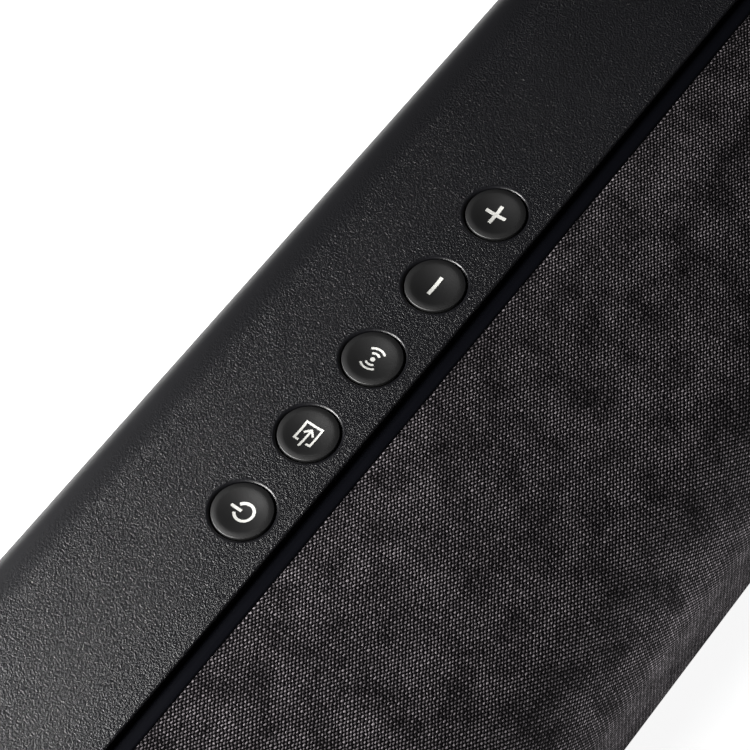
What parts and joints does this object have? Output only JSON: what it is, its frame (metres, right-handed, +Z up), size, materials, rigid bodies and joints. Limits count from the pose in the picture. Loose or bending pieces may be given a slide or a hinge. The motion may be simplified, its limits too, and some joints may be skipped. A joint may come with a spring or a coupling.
{
  "type": "soundbar",
  "caption": "Long low soundbar: grained top with a row of dished keys, cloth-covered curved front, rear connector bay, end bass ports and rubber feet.",
  "frame": {"origin": "centre of the footprint, on the plane that the feet stand on", "axes": "+X along the bar to the right of a listener who faces it, -Y the cloth front, +Z up"},
  "size_m": [0.89, 0.12, 0.0603],
  "materials": {
    "panel_plastic": "fine-grained satin",
    "trim_plastic": "smooth satin",
    "cloth": "plain weave, heathered",
    "frame_plastic": "moulded",
    "housing_plastic": "fine-grained",
    "foot_rubber": "matt",
    "plated_steel": "zinc plated",
    "black_steel": "blackened",
    "silicone": "matt",
    "circuit_board": "solder mask",
    "chip_resin": "matt",
    "transformer_tape": "tape",
    "capacitor_sleeve": "sleeve",
    "cooler_aluminium": "extruded",
    "socket_shell": "plated",
    "socket_plastic": "moulded",
    "lamp_lens": "clear",
    "clear_plastic": "clear",
    "dark_lens": "tinted",
    "foam": "foam",
    "magnet_ferrite": "ground",
    "basket_metal": "powder coat",
    "surround_rubber": "matt",
    "cone_paper": "pressed pulp",
    "grille_steel": "powder coat",
    "dome_silk": "coated silk",
    "button_plastic": "satin"
  },
  "bodies": {
    "housing": {"top_panel": "panel_plastic", "groove_trim": "trim_plastic", "grille_fabric": "cloth", "grille_frame": "frame_plastic", "front_baffle": "frame_plastic", "lower_housing": "housing_plastic", "rear_wall": "housing_plastic", "screw_pillars": "plated_steel", "rubber_feet": "foot_rubber", "keyhole_plates": "plated_steel", "housing_screws": "black_steel", "keypad_membrane": "silicone", "key_board": "circuit_board", "main_board": "circuit_board", "power_board": "circuit_board", "main_board_chips": "chip_resin", "transformer": "transformer_tape", "power_capacitors": "capacitor_sleeve", "heatsink": "cooler_aluminium", "hdmi_sockets": "socket_shell", "usb_socket": "socket_shell", "optical_socket": "socket_plastic", "aux_jack": "socket_plastic", "mains_inlet": "socket_plastic", "connector_plate": "housing_plastic", "connector_bay": "housing_plastic", "led_board": "circuit_board", "status_leds": "lamp_lens", "light_pipe": "clear_plastic", "infrared_receiver": "dark_lens", "driver_gaskets": "foam", "woofer_magnets": "magnet_ferrite", "mid_magnets": "magnet_ferrite", "end_cap_left": "panel_plastic", "port_tube_left": "housing_plastic", "woofer_basket_left": "basket_metal", "woofer_surround_left": "surround_rubber", "woofer_grille_left": "grille_steel", "mid_basket_left": "basket_metal", "mid_surround_left": "surround_rubber", "tweeter_body_left": "frame_plastic", "end_cap_right": "panel_plastic", "port_tube_right": "housing_plastic", "woofer_basket_right": "basket_metal", "woofer_surround_right": "surround_rubber", "woofer_grille_right": "grille_steel", "mid_basket_right": "basket_metal", "mid_surround_right": "surround_rubber", "tweeter_body_right": "frame_plastic"},
    "power_key": {"power_button": "button_plastic"},
    "source_key": {"source_button": "button_plastic"},
    "wireless_key": {"wireless_button": "button_plastic"},
    "volume_down_key": {"volume_down_button": "button_plastic"},
    "volume_up_key": {"volume_up_button": "button_plastic"},
    "woofer_cone_left": {"woofer_cone_left": "cone_paper"},
    "mid_cone_left": {"mid_cone_left": "cone_paper"},
    "tweeter_dome_left": {"tweeter_dome_left": "dome_silk"},
    "woofer_cone_right": {"woofer_cone_right": "cone_paper"},
    "mid_cone_right": {"mid_cone_right": "cone_paper"},
    "tweeter_dome_right": {"tweeter_dome_right": "dome_silk"}
  },
  "joints": [
    {"name": "power_press", "type": "slide", "parent": "housing", "child": "power_key", "axis": [0, 0, -1], "range_m": [0, 0.0008], "stiffness_N_per_m": 1500, "deforming": ["keypad_membrane"]},
    {"name": "source_press", "type": "slide", "parent": "housing", "child": "source_key", "axis": [0, 0, -1], "range_m": [0, 0.0008], "stiffness_N_per_m": 1500, "deforming": ["keypad_membrane"]},
    {"name": "wireless_press", "type": "slide", "parent": "housing", "child": "wireless_key", "axis": [0, 0, -1], "range_m": [0, 0.0008], "stiffness_N_per_m": 1500, "deforming": ["keypad_membrane"]},
    {"name": "volume_down_press", "type": "slide", "parent": "housing", "child": "volume_down_key", "axis": [0, 0, -1], "range_m": [0, 0.0008], "stiffness_N_per_m": 1500, "deforming": ["keypad_membrane"]},
    {"name": "volume_up_press", "type": "slide", "parent": "housing", "child": "volume_up_key", "axis": [0, 0, -1], "range_m": [0, 0.0008], "stiffness_N_per_m": 1500, "deforming": ["keypad_membrane"]},
    {"name": "woofer_left_stroke", "type": "slide", "parent": "housing", "child": "woofer_cone_left", "axis": [0, 0, -1], "range_m": [-0.003, 0.003], "stiffness_N_per_m": 1500, "deforming": ["woofer_surround_left"]},
    {"name": "mid_left_stroke", "type": "slide", "parent": "housing", "child": "mid_cone_left", "axis": [0, -1, 0], "range_m": [-0.001, 0.001], "stiffness_N_per_m": 2500, "deforming": ["mid_surround_left"]},
    {"name": "tweeter_left_stroke", "type": "slide", "parent": "housing", "child": "tweeter_dome_left", "axis": [0, -1, 0], "range_m": [-0.0003, 0.0003], "stiffness_N_per_m": 4000},
    {"name": "woofer_right_stroke", "type": "slide", "parent": "housing", "child": "woofer_cone_right", "axis": [0, 0, -1], "range_m": [-0.003, 0.003], "stiffness_N_per_m": 1500, "deforming": ["woofer_surround_right"]},
    {"name": "mid_right_stroke", "type": "slide", "parent": "housing", "child": "mid_cone_right", "axis": [0, -1, 0], "range_m": [-0.001, 0.001], "stiffness_N_per_m": 2500, "deforming": ["mid_surround_right"]},
    {"name": "tweeter_right_stroke", "type": "slide", "parent": "housing", "child": "tweeter_dome_right", "axis": [0, -1, 0], "range_m": [-0.0003, 0.0003], "stiffness_N_per_m": 4000}
  ]
}
